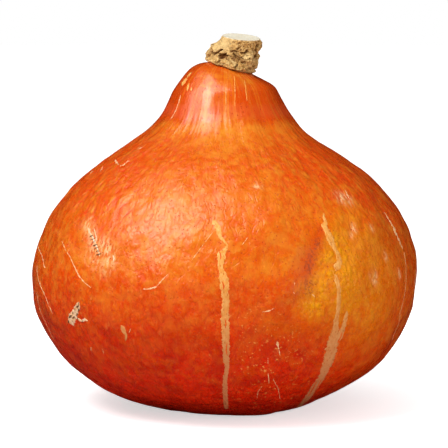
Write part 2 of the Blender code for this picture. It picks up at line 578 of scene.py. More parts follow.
@dataclass(frozen=True)
class SkinFinish:
    """The waxy orange skin: mottled and flecked, redder and darker below, darker in its creases, and finely
    wrinkled. Part of that darkening is painted shade, and painted light lies on its front and under the lamps'
    reflections. Sizes are in metres.
    """

    orange: Colour = (0.70, 0.112, 0.001)
    light: Colour = (0.77, 0.265, 0.018)
    deep: Colour = (0.65, 0.050, 0.0006)
    crease: Colour = (0.70, 0.056, 0.0004)
    neck: Colour = (0.60, 0.050, 0.0004)
    red: Colour = (0.80, 0.016, 0.001)
    amber: Colour = (0.84, 0.330, 0.004)
    bruise: Colour = (0.33, 0.060, 0.020)
    pale: Colour = (0.95, 0.560, 0.260)
    pore: Colour = (0.50, 0.032, 0.001)
    dark: Colour = (0.46, 0.007, 0.0005)
    hair: Colour = (0.95, 0.400, 0.090)
    scar: Colour = (0.36, 0.190, 0.070)
    wrinkle_size: float = 0.0064
    plate_size: float = 0.0056
    fold_size: float = 0.0032
    pebble_size: float = 0.0024
    pore_size: float = 0.0017
    micro_size: float = 0.0015
    neck_foot: float = 0.1240

    def build(self, effects: Effects) -> bpy.types.Material:
        """Builds the material from the mesh's place, its length along the skin and its painted layers.

        Args:
            effects: The shared effects.

        Returns:
            The material.
        """
        material, graph, shader = start_finish("skin", 0.25, Coat_Roughness=0.12, Specular_IOR_Level=0.25)
        place = graph.wire("ShaderNodeTexCoord", {}, "Object")
        x, y, z = graph.split(place)
        outward = graph.split(graph.vector("NORMALIZE", graph.join(x, y, 0.0)))
        along = graph.attribute("along")
        on_neck = z.step(0.110, 0.130)
        on_body = 1.0 - on_neck
        on_shoulder = z.step(0.066, 0.098) * z.step(0.128, 0.112)
        stretched = on_shoulder * outward[0].math("ABSOLUTE").step(0.25, 0.75, 0.30, 1.0)
        amber, bruise, pale, red, light, specks, scar = (graph.attribute(layer.value) for layer in Layer)

        def lines(length: float) -> Wire:
            """Gives a place on the skin as if each meridian were equally far from the next."""
            return graph.join(outward[0] * PATTERN_RADIUS, outward[1] * PATTERN_RADIUS, along / length)

        def mask(vector: Wire, size: float, low: float, high: float) -> Wire:
            """Gives soft-edged patches."""
            return effects.blotches.place(graph, "Mask", Vector=vector, Size=size, Low=low, High=high)

        def bulges(vector: Wire, size: float, bend: float) -> Wire:
            """Gives rounded bulges."""
            return effects.bulges.place(graph, "Height", Vector=vector, Size=size, Bend=bend)

        wrinkles = bulges(lines(1.7), self.wrinkle_size, 1.0)
        folds = bulges(lines(1.3), self.fold_size, 0.6)
        micro = bulges(lines(1.6), self.micro_size, 0.6)
        plates = bulges(place, self.plate_size, 1.2)
        pebbles = bulges(place, self.pebble_size, 0.5)
        net = effects.net.place(graph, "Mask", Vector=lines(1.6), Size=self.plate_size, Bend=1.2, Width=0.15)
        net = net * mask(place, 0.0070, 0.36, 0.56)
        dots = effects.pores.place(graph, "Mask", Vector=place, Size=self.pore_size, Share=0.75, Radius=0.22)
        streaks = graph.noise(lines(1.8), 0.0019, 3.0, 0.6)
        broken = mask(lines(2.2), 0.0013, 0.47, 0.57)
        wobble = (graph.noise(place, 0.012, 3.0) - 0.5) * 0.030

        # 1 on the side that faces the front lamps: it carries the painted light and shade below.
        painted_lit_front = (-outward[1] + wobble * 8.0).step(0.10, 0.80)
        leftward = outward[0].step(-0.2, -0.8)
        below_neck = z.step(0.094, 0.108) * z.step(0.126, 0.120)
        edge = z + wobble * 0.12 + (graph.noise(lines(1.0), 0.0022, 2.0) - 0.5) * 0.006
        colour = graph.coat(
            self.orange,
            (mask(place, 0.030, 0.30, 0.70) * 0.5, self.deep),
            # Painted shade: the sides and back, away from the front lamps, are deeper.
            ((1.0 - painted_lit_front) * 0.60, self.deep),
            # Painted light: the upper front, facing the key lamp, is lighter.
            ((z + wobble).step(0.056, 0.104) * (painted_lit_front * 0.40 + 0.03), self.light),
            (mask(place, 0.0060, 0.46, 0.62) * 0.50, self.light),
            (mask(place, 0.0027, 0.48, 0.62) * (leftward * 0.22 + 0.40), self.light),
            (mask(place, 0.0042, 0.42, 0.58) * below_neck * 0.55, self.deep),
            (edge.step(self.neck_foot, self.neck_foot + 0.0035) * 0.88, self.neck),
            (streaks.step(0.52, 0.74) * (0.40 - on_neck * 0.24), self.light),
            (mask(lines(16.0), 0.0046, 0.50, 0.64) * on_neck * 0.50, self.light),
        )

        # Darker in the creases: partly the skin's own deeper colour, partly painted shade.
        crease_tone_and_shade = (1.0 - wrinkles) * (stretched * 0.42 + 0.08)
        crease_tone_and_shade = crease_tone_and_shade + (1.0 - folds) * (stretched * 0.10 + 0.17 - on_neck * 0.08)
        crease_tone_and_shade = crease_tone_and_shade + net * (stretched * 0.50 + 0.14) * on_body
        crease_tone_and_shade = crease_tone_and_shade + (1.0 - micro) * (0.16 - (on_neck + on_shoulder) * 0.10)
        # Redder and darker towards the bottom: partly the skin's own colour, partly painted shade.
        to_right = outward[0].step(0.30, 0.95) * 0.026
        low_down = (z + wobble + to_right).step(0.080, 0.012)
        freckles = mask(place, 0.0050, 0.46, 0.62) * z.step(0.006, 0.030)
        colour = graph.coat(
            colour,
            (crease_tone_and_shade, self.crease),
            (low_down * 0.92, self.red),
            (mask(place, 0.0095, 0.46, 0.62) * low_down * 0.55, self.dark),
            (freckles * low_down * 0.46, self.orange),
            # Painted shade in the creases low down.
            ((1.0 - folds) * low_down * 0.34, self.dark),
            (net * low_down * 0.40, self.dark),
        )

        flecks = graph.noise(place, 0.0013, 3.0, 0.65).step(0.608, 0.650) * mask(place, 0.0052, 0.47, 0.58)
        hairs = graph.noise(lines(2.4), 0.0012, 2.0).step(0.58, 0.70) * mask(place, 0.0070, 0.44, 0.60)
        hairy = outward[0].step(-0.15, -0.80) * z.step(0.030, 0.060) * on_body
        colour = graph.coat(
            colour,
            (amber * (folds * 0.25 + pebbles * 0.35 + 0.40), self.amber),
            # The red layer: a deeper red band and streak, and painted shade on the neck's sides.
            (red * 0.75, self.deep),
            # The light layer: lighter patches, and painted highlight where the lamps' reflections fall.
            (light * (mask(place, 0.0030, 0.42, 0.62) * 0.50 + 0.25), self.light),
            (bruise * (mask(place, 0.0012, 0.50, 0.58) * 0.75 + 0.20), self.bruise),
            (pale * (broken * 0.80 + 0.15), self.pale),
            (dots * z.step(0.03, 0.09, 0.30, 0.75), self.pore),
            (flecks * (specks * 0.70 + 0.12), self.hair),
            (hairs * (hairy * 0.42 + 0.08), self.hair),
            (scar, self.scar),
        )
        graph.plug(shader.inputs["Base Color"], colour)

        dull_ring = z.step(0.1270, 0.1300) * z.step(0.1345, 0.1315)
        dullness = graph.noise(place, 0.006, 3.0).step(0.3, 0.7, 0.22, 0.33) - on_neck * 0.05
        dullness = dullness + dull_ring * 0.30 + dots * 0.49 + net * 0.10
        dullness = dullness + scar * 0.35 + pale * broken * 0.12
        graph.plug(shader.inputs["Roughness"], dullness)
        graph.plug(shader.inputs["Coat Weight"], on_neck * 0.40 + 0.06)

        ridges = graph.noise(lines(12.0), 0.0050, 2.0)
        height = wrinkles * (stretched * 0.19 + 0.01) + folds * (0.08 - on_neck * 0.075)
        height = height + micro * (0.08 - on_neck * 0.07 - on_shoulder * 0.05)
        height = height + plates * on_body * 0.17 - net * on_body * 0.10 - dots * 0.10
        height = height + streaks * (0.07 - on_neck * 0.04) + ridges * (on_neck * 0.09 + scar * 0.3)
        height = height + graph.noise(place, 0.0009, 2.0) * (0.035 - on_neck * 0.015)
        height = height + amber * pebbles * 0.30
        raise_surface(graph, shader, height, MM)
        return material


@dataclass(frozen=True)
class CorkFinish:
    """Dry cork: tan, with brown painted shade in its hollows, and dark pores. A low colour, where given, paints
    shade towards the bottom. The stem's cut face is paler and fibrous.
    """

    name: str
    pale: Colour
    mid: Colour
    brown: Colour
    roughness: float = 0.85
    grain: float = 0.0016
    stretch: float = 1.0
    pore_share: float = 0.35
    pore_size: float = 0.0014
    bump: float = 0.12
    cut: Colour = (0.74, 0.66, 0.49)
    # A darker colour towards the bottom, as painted shade.
    low: Colour | None = None

    def build(self, effects: Effects) -> bpy.types.Material:
        """Builds the material. It reads how much painted shade a deep place of the stem gets, and cut, the
        stem's cut face.

        Args:
            effects: The shared effects.

        Returns:
            The material.
        """
        material, graph, shader = start_finish(self.name, self.roughness, Specular_IOR_Level=0.2)
        place = graph.wire("ShaderNodeTexCoord", {}, "Object")
        z = graph.split(place)[2]
        grain_place = graph.vector("MULTIPLY", place, (1.0, 1.0, 1.0 / self.stretch))
        spots = effects.blotches
        patches = spots.place(graph, "Mask", Vector=grain_place, Size=self.grain, Low=0.36, High=0.64)
        large = spots.place(graph, "Mask", Vector=place, Size=self.grain * 3.5, Low=0.35, High=0.65)
        fibres = spots.place(graph, "Mask", Vector=place, Size=0.0007, Low=0.30, High=0.70)
        dots = effects.pores.place(
            graph, "Mask", Vector=grain_place, Size=self.pore_size, Share=self.pore_share, Radius=0.30
        )
        # Darker towards the bottom: painted shade.
        bottom_shade_coat = [(z.step(0.075, 0.012) * 0.85, self.low)] if self.low else []
        colour = graph.coat(
            self.mid,
            (patches * 0.75, self.pale),
            (large * 0.35, self.mid),
            (graph.attribute("tone") * 0.7, self.pale),
            *bottom_shade_coat,
            # Painted shade: brown where the cork lies deep.
            (graph.attribute("hollow"), self.brown),
            (dots * 0.7, self.brown),
            (graph.attribute("cut"), graph.mix(fibres * 0.35, self.cut, self.pale)),
        )
        graph.plug(shader.inputs["Base Color"], colour)
        creases = effects.creases.place(
            graph, "Height", Vector=grain_place, Size=self.grain * 1.2, Width=0.2
        )
        height = creases + graph.noise(place, 0.0005, 2.0) - dots
        raise_surface(graph, shader, height * self.bump, MM)
        return material


class Layer(Enum):
    """The soft layers that are painted on the fruit's points, each a number from 0 to 1."""

    AMBER = "amber"
    # A dark streak along a dent, left of the amber patch.
    BRUISE = "bruise"
    PALE = "pale"
    # Deeper red, and painted shade on the neck's sides.
    RED = "red"
    # Lighter orange, and painted highlight where the lamps' reflections fall.
    LIGHT = "light"
    SPECKS = "specks"
    SCAR = "scar"


class Side(Enum):
    """What the points of a mark are: pixels of the photograph, or degrees round and shares of the height."""

    PHOTO = "photo"
    ROUND = "round"


@dataclass(frozen=True)
class Blush:
    """A soft patch of a layer, along a line of points, with its radius in metres."""

    layer: Layer
    radius: float
    strength: float
    points: tuple[Point, ...]
    side: Side = Side.PHOTO


@dataclass
class Fruit:
    """The fruit: one turned skin with faint grooves, slow swellings, dents and fine wrinkles.

    A point of outline is a share of the half width and of the height. One of lean is a share of the
    height, and how far the middle lies to the right and back there. A swelling has its height, how often
    it comes round and up, and its phase. A dent has its degrees round, its share of the height, half its
    width and half its height, and its depth.
    """

    width: float = 0.169
    height: float = 0.151
    top_slope: float = math.tan(math.radians(13.0))
    grooves: int = 10
    segments: int = 440
    rings: int = 218
    outline: tuple[Point, ...] = (
        (0.000, 0.0130),
        (0.045, 0.0135),
        (0.080, 0.0190),
        (0.130, 0.0105),
        (0.200, -0.0030),
        (0.330, -0.0050),
        (0.435, 0.0090),
        (0.545, 0.032),
        (0.690, 0.074),
        (0.817, 0.132),
        (0.893, 0.190),
        (0.947, 0.250),
        (0.984, 0.305),
        (0.997, 0.365),
        (0.988, 0.435),
        (0.922, 0.542),
        (0.853, 0.600),
        (0.763, 0.658),
        (0.635, 0.716),
        (0.476, 0.775),
        (0.407, 0.804),
        (0.359, 0.833),
        (0.323, 0.862),
        (0.295, 0.892),
        (0.258, 0.931),
        (0.183, 0.970),
        (0.100, 0.992),
        (0.000, 1.000),
    )
    lean: tuple[Point, ...] = (
        (0.00, 0.0009, -0.0004),
        (0.03, -0.0011, -0.0004),
        (0.15, -0.0002, -0.0004),
        (0.48, 0.0000, -0.0004),
        (0.58, 0.0004, -0.0003),
        (0.70, 0.0003, -0.0002),
        (0.78, 0.0001, 0.0003),
        (0.84, 0.0008, 0.0006),
        (0.92, 0.0003, 0.0004),
        (1.00, 0.0010, 0.0000),
    )
    swellings: tuple[Point, ...] = (
        (0.00060, 2, 0.1, -1.4),
        (0.00030, 3, -0.2, 3.6),
        (0.00030, 5, 1.5, 0.9),
        (0.00025, 8, -2.5, 4.0),
        (0.00022, 13, 4.0, 1.7),
        (0.00018, 17, -5.0, 3.1),
    )
    dents: tuple[Point, ...] = (
        (26.0, 0.450, 0.0060, 0.0150, 0.0011),
        (-8.0, 0.640, 0.0130, 0.0080, 0.0006),
        (151.0, 0.520, 0.0100, 0.0140, 0.0009),
        (-122.0, 0.300, 0.0120, 0.0080, 0.0007),
        (82.0, 0.070, 0.0260, 0.0070, 0.0025),
        (-80.0, 0.070, 0.0300, 0.0080, 0.0009),
        (-88.0, 0.380, 0.0400, 0.0150, -0.0005),
        (-30.0, 0.022, 0.0400, 0.0060, 0.0034),
        (28.0, 0.026, 0.0140, 0.0050, -0.0030),
        (84.0, 0.968, 0.0520, 0.0040, -0.0024),
    )
    scar_rim: tuple[float, float] = (0.0072, 0.0092)
    groove_on_neck: float = 0.00020
    groove_on_body: float = 0.00022
    wrinkle_depth: float = 0.00026
    lump_size: float = 0.0130
    pad_size: float = 0.0085
    fold_size: float = 0.0080
    pucker_size: float = 0.0042
    piece: bpy.types.Object = field(init=False)
    surface: BVHTree = field(init=False)

    def outline_mesh(self) -> bpy.types.Mesh:
        """Makes the turned outline as a line of points.

        Returns:
            The line. Each of its points holds how far the fruit's middle leans to the right and back there.
        """
        points = turned_outline(self.outline, 8) * (self.width / 2, self.height)
        shares, to_right, to_back = zip(*self.lean)
        mesh = bpy.data.meshes.new("outline")
        edges = [(k, k + 1) for k in range(len(points) - 1)]
        mesh.from_pydata([(max(radius, 0.0), 0.0, z) for radius, z in points], edges, [])
        for name, shifts in (("to_right", to_right), ("to_back", to_back)):
            values = np.interp(points[:, 1] / self.height, shares, shifts)
            mesh.attributes.new(name, "FLOAT", "POINT").data.foreach_set("value", values.astype(np.float32))
        return mesh

    def recipe(self) -> Recipe:
        """Builds the tree that turns the outline into the fruit and wrinkles its skin.

        Returns:
            The tree. Its sizes are its inputs.
        """
        recipe = Recipe("turned_fruit", "GeometryNodeTree")
        outline = recipe.takes("Geometry", "Geometry")
        segments = recipe.takes("Segments", "Int", self.segments)
        rings = recipe.takes("Rings", "Int", self.rings)
        width, tall, on_neck, on_body, tilt, wrinkle = recipe.takes_numbers(
            Width=self.width, Height=self.height, Groove_on_neck=self.groove_on_neck,
            Groove_on_body=self.groove_on_body, Top_slope=self.top_slope, Wrinkle_depth=self.wrinkle_depth,
        )
        material = recipe.takes("Material", "Material")

        curve = recipe.wire("GeometryNodeMeshToCurve", {"Mesh": outline})
        inputs = {"Size X": 1.0, "Size Y": 1.0, "Vertices X": segments + 1, "Vertices Y": rings}
        sheet = recipe.node("GeometryNodeMeshGrid", inputs)
        uv = Wire(recipe, sheet.outputs["UV Map"])
        u, v, _ = recipe.split(uv)

        def on_outline(name: str, output: str) -> Wire:
            """Reads the outline at the sheet's share of its length."""
            inputs = {"Curves": curve, "Value": recipe.stored(name) if name else 0.0, "Factor": v}
            return recipe.wire("GeometryNodeSampleCurve", inputs, output, data_type="FLOAT")

        radius, _, z = recipe.split(on_outline("", "Position"))
        azimuth = (u - 0.5) * FULL_TURN
        share = z / tall
        groove = on_body + (on_neck - on_body) * share.step(0.78, 0.92)
        relief = -groove * (azimuth * self.grooves).math("COSINE")
        body = (radius / width * 2.0).step(0.10, 0.75)
        for height, around, up, phase in self.swellings:
            wave = azimuth * around + share * (FULL_TURN * up) + phase
            relief = relief + wave.math("SINE") * height * body
        for degrees, at_height, half_width, half_height, depth in self.dents:
            turn = (azimuth - math.radians(degrees)).math("WRAP", math.pi, -math.pi)
            across = turn * width / (2 * half_width)
            rise = (share - at_height) * tall / half_height
            relief = relief - (-(across * across + rise * rise)).math("EXPONENT") * depth
        radius = (radius + relief * (radius / width * 2.0).step(0.0, 0.35)).math("MAXIMUM", 0.0)
        side = radius * azimuth.math("SINE")
        back = -radius * azimuth.math("COSINE")
        z = (z - side * tilt * share.step(0.92, 1.0)).math("MAXIMUM", 0.0)
        place = recipe.join(side + on_outline("to_right", "Value"), back + on_outline("to_back", "Value"), z)

        mesh = recipe.store(Wire(recipe, sheet.outputs["Mesh"]), "OFBake", "FLOAT2", uv, "CORNER")
        length = recipe.wire("GeometryNodeCurveLength", {"Curve": curve})
        mesh = recipe.store(mesh, "along", "FLOAT", v * length)
        mesh = recipe.wire("GeometryNodeSetPosition", {"Geometry": mesh, "Position": place})
        mesh = recipe.wire("GeometryNodeMergeByDistance", {"Geometry": mesh, "Distance": 1e-6})

        here = recipe.wire("GeometryNodeInputPosition", {})
        x, y, z = recipe.split(here)
        direction = recipe.vector("NORMALIZE", recipe.join(x, y, 0.0))
        outward = recipe.vector("SCALE", direction, Scale=PATTERN_RADIUS)
        meridian = recipe.vector("ADD", outward, recipe.join(0.0, 0.0, recipe.stored("along") / 2.2))
        on_shoulder = z.step(0.060, 0.095) * z.step(0.140, 0.120)
        pads = recipe.bulges(here, self.pad_size) * z.step(0.0, 0.06, 0.4, 1.0) * z.step(0.125, 0.105, 0.1, 1.0)
        folds = recipe.bulges(meridian, self.fold_size, 0.8) * on_shoulder
        lumps = (recipe.noise(here, self.lump_size, 1.0) - 0.5) * 2.0
        pucker = (recipe.noise(here, self.pucker_size, 1.0) - 0.5) * z.step(0.125, 0.105, 0.2, 1.0)
        fine = (pads * 1.1 + folds + lumps + pucker * 0.8 - 1.0) * wrinkle
        normal = recipe.wire("GeometryNodeInputNormal", {}, "Normal")
        offset = recipe.vector("SCALE", normal, Scale=fine)
        mesh = recipe.wire("GeometryNodeSetPosition", {"Geometry": mesh, "Offset": offset})
        x, y, z = recipe.split(here)
        flat = recipe.join(x, y, z.math("MAXIMUM", 0.0))
        mesh = recipe.wire("GeometryNodeSetPosition", {"Geometry": mesh, "Position": flat})
        recipe.finish(mesh, material)
        return recipe

    def build(self, material: bpy.types.Material) -> bpy.types.Object:
        """Builds the fruit.

        Args:
            material: The skin's finish.

        Returns:
            The finished piece, which stands for the solid fruit.
        """
        self.piece = grow("fruit_skin", self.outline_mesh(), self.recipe(), {"Material": material})
        mesh = self.piece.data
        self.surface = BVHTree.FromPolygons(
            [vertex.co for vertex in mesh.vertices], [face.vertices for face in mesh.polygons]
        )
        wear(self.piece, "skin", "fruit")
        return self.piece

    def find(self, view: PhotoView, side: Side, point: Point) -> Vector:
        """Finds a place on the skin.

        Args:
            view: The photograph's view.
            side: What the point is.
            point: A pixel of the photograph, or degrees round and a share of the height.

        Returns:
            The place.
        """
        if side is Side.PHOTO:
            start, ahead = view.eye(), view.sight(*point[:2])
        else:
            azimuth = math.radians(point[0])
            ahead = Vector((-math.sin(azimuth), math.cos(azimuth), 0.0))
            start = Vector((0.0, 0.0, point[1] * self.height)) - ahead
        hit = self.surface.ray_cast(start, ahead)[0]
        return hit or self.surface.find_nearest(start + ahead * view.distance)[0]

    def paint(self, view: PhotoView, blushes: tuple[Blush, ...]) -> None:
        """Paints the soft layers on the fruit's points.

        Args:
            view: The photograph's view, for patches that are placed by its pixels.
            blushes: The patches.
        """
        mesh = self.piece.data
        points = np.empty(len(mesh.vertices) * 3)
        mesh.vertices.foreach_get("co", points)
        points = points.reshape(-1, 3)
        layers = {layer: np.zeros(len(points)) for layer in Layer}
        for blush in blushes:
            places = [np.array(self.find(view, blush.side, point)) for point in blush.points]
            line = np.array(places)
            if len(places) > 1:
                line = turned_outline(tuple(map(tuple, places)), 10)
            gap = np.full(len(points), np.inf)
            for place in line:
                gap = np.minimum(gap, np.linalg.norm(points - place, axis=1))
            patch = blush.strength * np.exp(-((gap / blush.radius) ** 2))
            layers[blush.layer] = np.maximum(layers[blush.layer], patch)
        x, y, z = points.T
        from_middle = np.hypot(x, y) + 0.0006 * np.sin(np.arctan2(y, x) * 7)
        layers[Layer.SCAR] = (1.0 - smooth_step(*self.scar_rim, from_middle)) * (z < 0.01)
        for layer, values in layers.items():
            made = mesh.attributes.new(layer.value, "FLOAT", "POINT")
            made.data.foreach_set("value", values.astype(np.float32))


@dataclass(frozen=True)
class Mark:
    """A line of cork in the skin. Each point has its place, and the mark's width there in pixels or mm."""

    points: tuple[Point, ...]
    side: Side = Side.PHOTO


@dataclass(frozen=True)
class Ribbon:
    """How a kind of mark is laid. Ragged and narrowed are shares of its width, and sizes are in metres."""

    name: str
    thickness: float
    ragged: float
    ragged_size: float
    step: float
    narrowed: float = 1.0


class MarkKind(Enum):
    """The kinds of mark."""

    STRIPE = Ribbon("cork_stripes", 0.00013, 0.75, 0.0009, 0.00030)
    SCAB = Ribbon("scabs", 0.00018, 0.80, 0.0008, 0.00030)
    SCRATCH = Ribbon("scratches", 0.00008, 3.20, 0.0014, 0.00025, narrowed=0.50)
    # Dark ribbons: painted shade in the scabs' slits and holes.
    SLIT = Ribbon("slits", 0.00026, 0.95, 0.0006, 0.00020)
    ISLAND = Ribbon("skin_islands", 0.00022, 0.90, 0.0007, 0.00025)


@dataclass
class SkinMarks:
    """All the marks of one kind: thin ragged ribbons of cork, laid along the skin and sunk into it."""

    kind: MarkKind
    marks: list[Mark]
    pixel: float = 0.170 / 385

    def paths(self, fruit: Fruit, view: PhotoView) -> bpy.types.Mesh:
        """Makes the marks' middle lines on the skin.

        Args:
            fruit: The fruit that they lie on.
            view: The photograph's view.

        Returns:
            The lines, with half the mark's width at each point.
        """
        places, widths, edges = [], [], []
        for mark in self.marks:
            unit = self.pixel if mark.side is Side.PHOTO else MM
            first = len(places)
            for point in mark.points:
                places.append(fruit.find(view, mark.side, point))
                widths.append(point[2] * unit / 2 * self.kind.value.narrowed)
            edges += [(k, k + 1) for k in range(first, len(places) - 1)]
        mesh = bpy.data.meshes.new(self.kind.value.name + "_paths")
        mesh.from_pydata(places, edges, [])
        made = mesh.attributes.new("half_width", "FLOAT", "POINT")
        made.data.foreach_set("value", np.array(widths, np.float32))
        return mesh

    @staticmethod
    def recipe() -> Recipe:
        """Builds the tree that lays a thin closed ribbon on the skin along each path.

        Returns:
            The tree. Its sizes are its inputs.
        """
        recipe = Recipe("marks_on_skin", "GeometryNodeTree")
        paths = recipe.takes("Geometry", "Geometry")
        skin = recipe.takes("Skin", "Object")
        thickness, ragged, ragged_size, step = recipe.takes_numbers(
            Thickness=0.00015, Ragged=0.5, Ragged_size=0.001, Step=0.00035
        )
        sides = recipe.takes("Sides", "Int", 14)
        material = recipe.takes("Material", "Material")

        skin_mesh = recipe.wire("GeometryNodeObjectInfo", {"Object": skin}, "Geometry")
        here = recipe.wire("GeometryNodeInputPosition", {})

        def from_skin(value: Wire, place: Wire) -> Wire:
            """Reads a vector of the skin at its point nearest to a place."""
            inputs = {"Mesh": skin_mesh, "Value": value, "Sample Position": place}
            return recipe.wire("GeometryNodeSampleNearestSurface", inputs, "Value", data_type="FLOAT_VECTOR")

        normal = recipe.wire("GeometryNodeInputNormal", {}, "Normal")
        curve = recipe.wire("GeometryNodeMeshToCurve", {"Mesh": paths})
        curve = recipe.wire("GeometryNodeResampleCurve", {"Curve": curve, "Length": step}, mode="LENGTH")
        tangent = recipe.wire("GeometryNodeInputTangent", {})
        across_path = recipe.vector("CROSS_PRODUCT", from_skin(normal, here), tangent)
        so_far = recipe.wire("GeometryNodeSplineParameter", {}, "Length")
        whole = recipe.wire("GeometryNodeSplineLength", {}, "Length")
        to_end = so_far.math("MINIMUM", whole - so_far)
        end_length = 0.0012
        blunt = (to_end / end_length + 0.02).math("MINIMUM", 1.0).math("POWER", 0.6)
        curve = recipe.store(curve, "middle", "FLOAT_VECTOR", here)
        curve = recipe.store(curve, "sideways", "FLOAT_VECTOR", recipe.vector("NORMALIZE", across_path))
        curve = recipe.store(curve, "reach", "FLOAT", recipe.stored("half_width") * blunt)

        ring = recipe.wire("GeometryNodeCurvePrimitiveCircle", {"Resolution": sides, "Radius": 1.0}, "Curve")
        across, up, _ = recipe.split(here)
        ring = recipe.store(ring, "across", "FLOAT", across)
        ring = recipe.store(ring, "up", "FLOAT", up)
        inputs = {"Curve": curve, "Profile Curve": ring, "Scale": 0.0002, "Fill Caps": True}
        mesh = recipe.wire("GeometryNodeCurveToMesh", inputs)
        reach = recipe.stored("reach") * recipe.stored("across")
        middle = recipe.stored("middle", "FLOAT_VECTOR")
        out = recipe.vector("SCALE", recipe.stored("sideways", "FLOAT_VECTOR"), Scale=reach)
        rough = (recipe.noise(recipe.vector("ADD", middle, out), ragged_size, 2.0, 0.6) - 0.5) * 2.0
        out = recipe.vector("SCALE", out, Scale=rough * ragged + 1.0)
        place = recipe.vector("ADD", middle, out)
        lift = recipe.stored("up")
        lift = lift.math("ABSOLUTE").math("POWER", 0.5) * lift.math("SIGN") * thickness
        raised = recipe.vector("SCALE", from_skin(normal, place), Scale=lift - thickness * 0.25)
        settled = recipe.vector("ADD", from_skin(here, place), raised)
        mesh = recipe.wire("GeometryNodeSetPosition", {"Geometry": mesh, "Position": settled})
        for name in ("middle", "sideways", "reach"):
            mesh = recipe.wire("GeometryNodeRemoveAttribute", {"Geometry": mesh, "Name": name})
        recipe.finish(mesh, material)
        return recipe

    def build(
        self, fruit: Fruit, view: PhotoView, recipe: Recipe, material: bpy.types.Material
    ) -> bpy.types.Object:
        """Builds the marks.

        Args:
            fruit: The fruit that they lie on.
            view: The photograph's view.
            recipe: The tree that lays ribbons on the skin.
            material: The marks' finish.

        Returns:
            The finished piece.
        """
        ribbon = self.kind.value
        values = {"Skin": fruit.piece, "Thickness": ribbon.thickness, "Ragged": ribbon.ragged,
                  "Ragged size": ribbon.ragged_size, "Step": ribbon.step, "Material": material}
        piece = grow(ribbon.name, self.paths(fruit, view), recipe, values)
        turn_outward(piece.data)
        wear(piece, "cork")
        return piece


def turn_outward(mesh: bpy.types.Mesh) -> None:
    """Turns all the faces of closed bodies to point outwards.

    Args:
        mesh: The mesh that holds the bodies.
    """
    work = bmesh.new()
    work.from_mesh(mesh)
    bmesh.ops.recalc_face_normals(work, faces=work.faces)
    work.to_mesh(mesh)
    work.free()


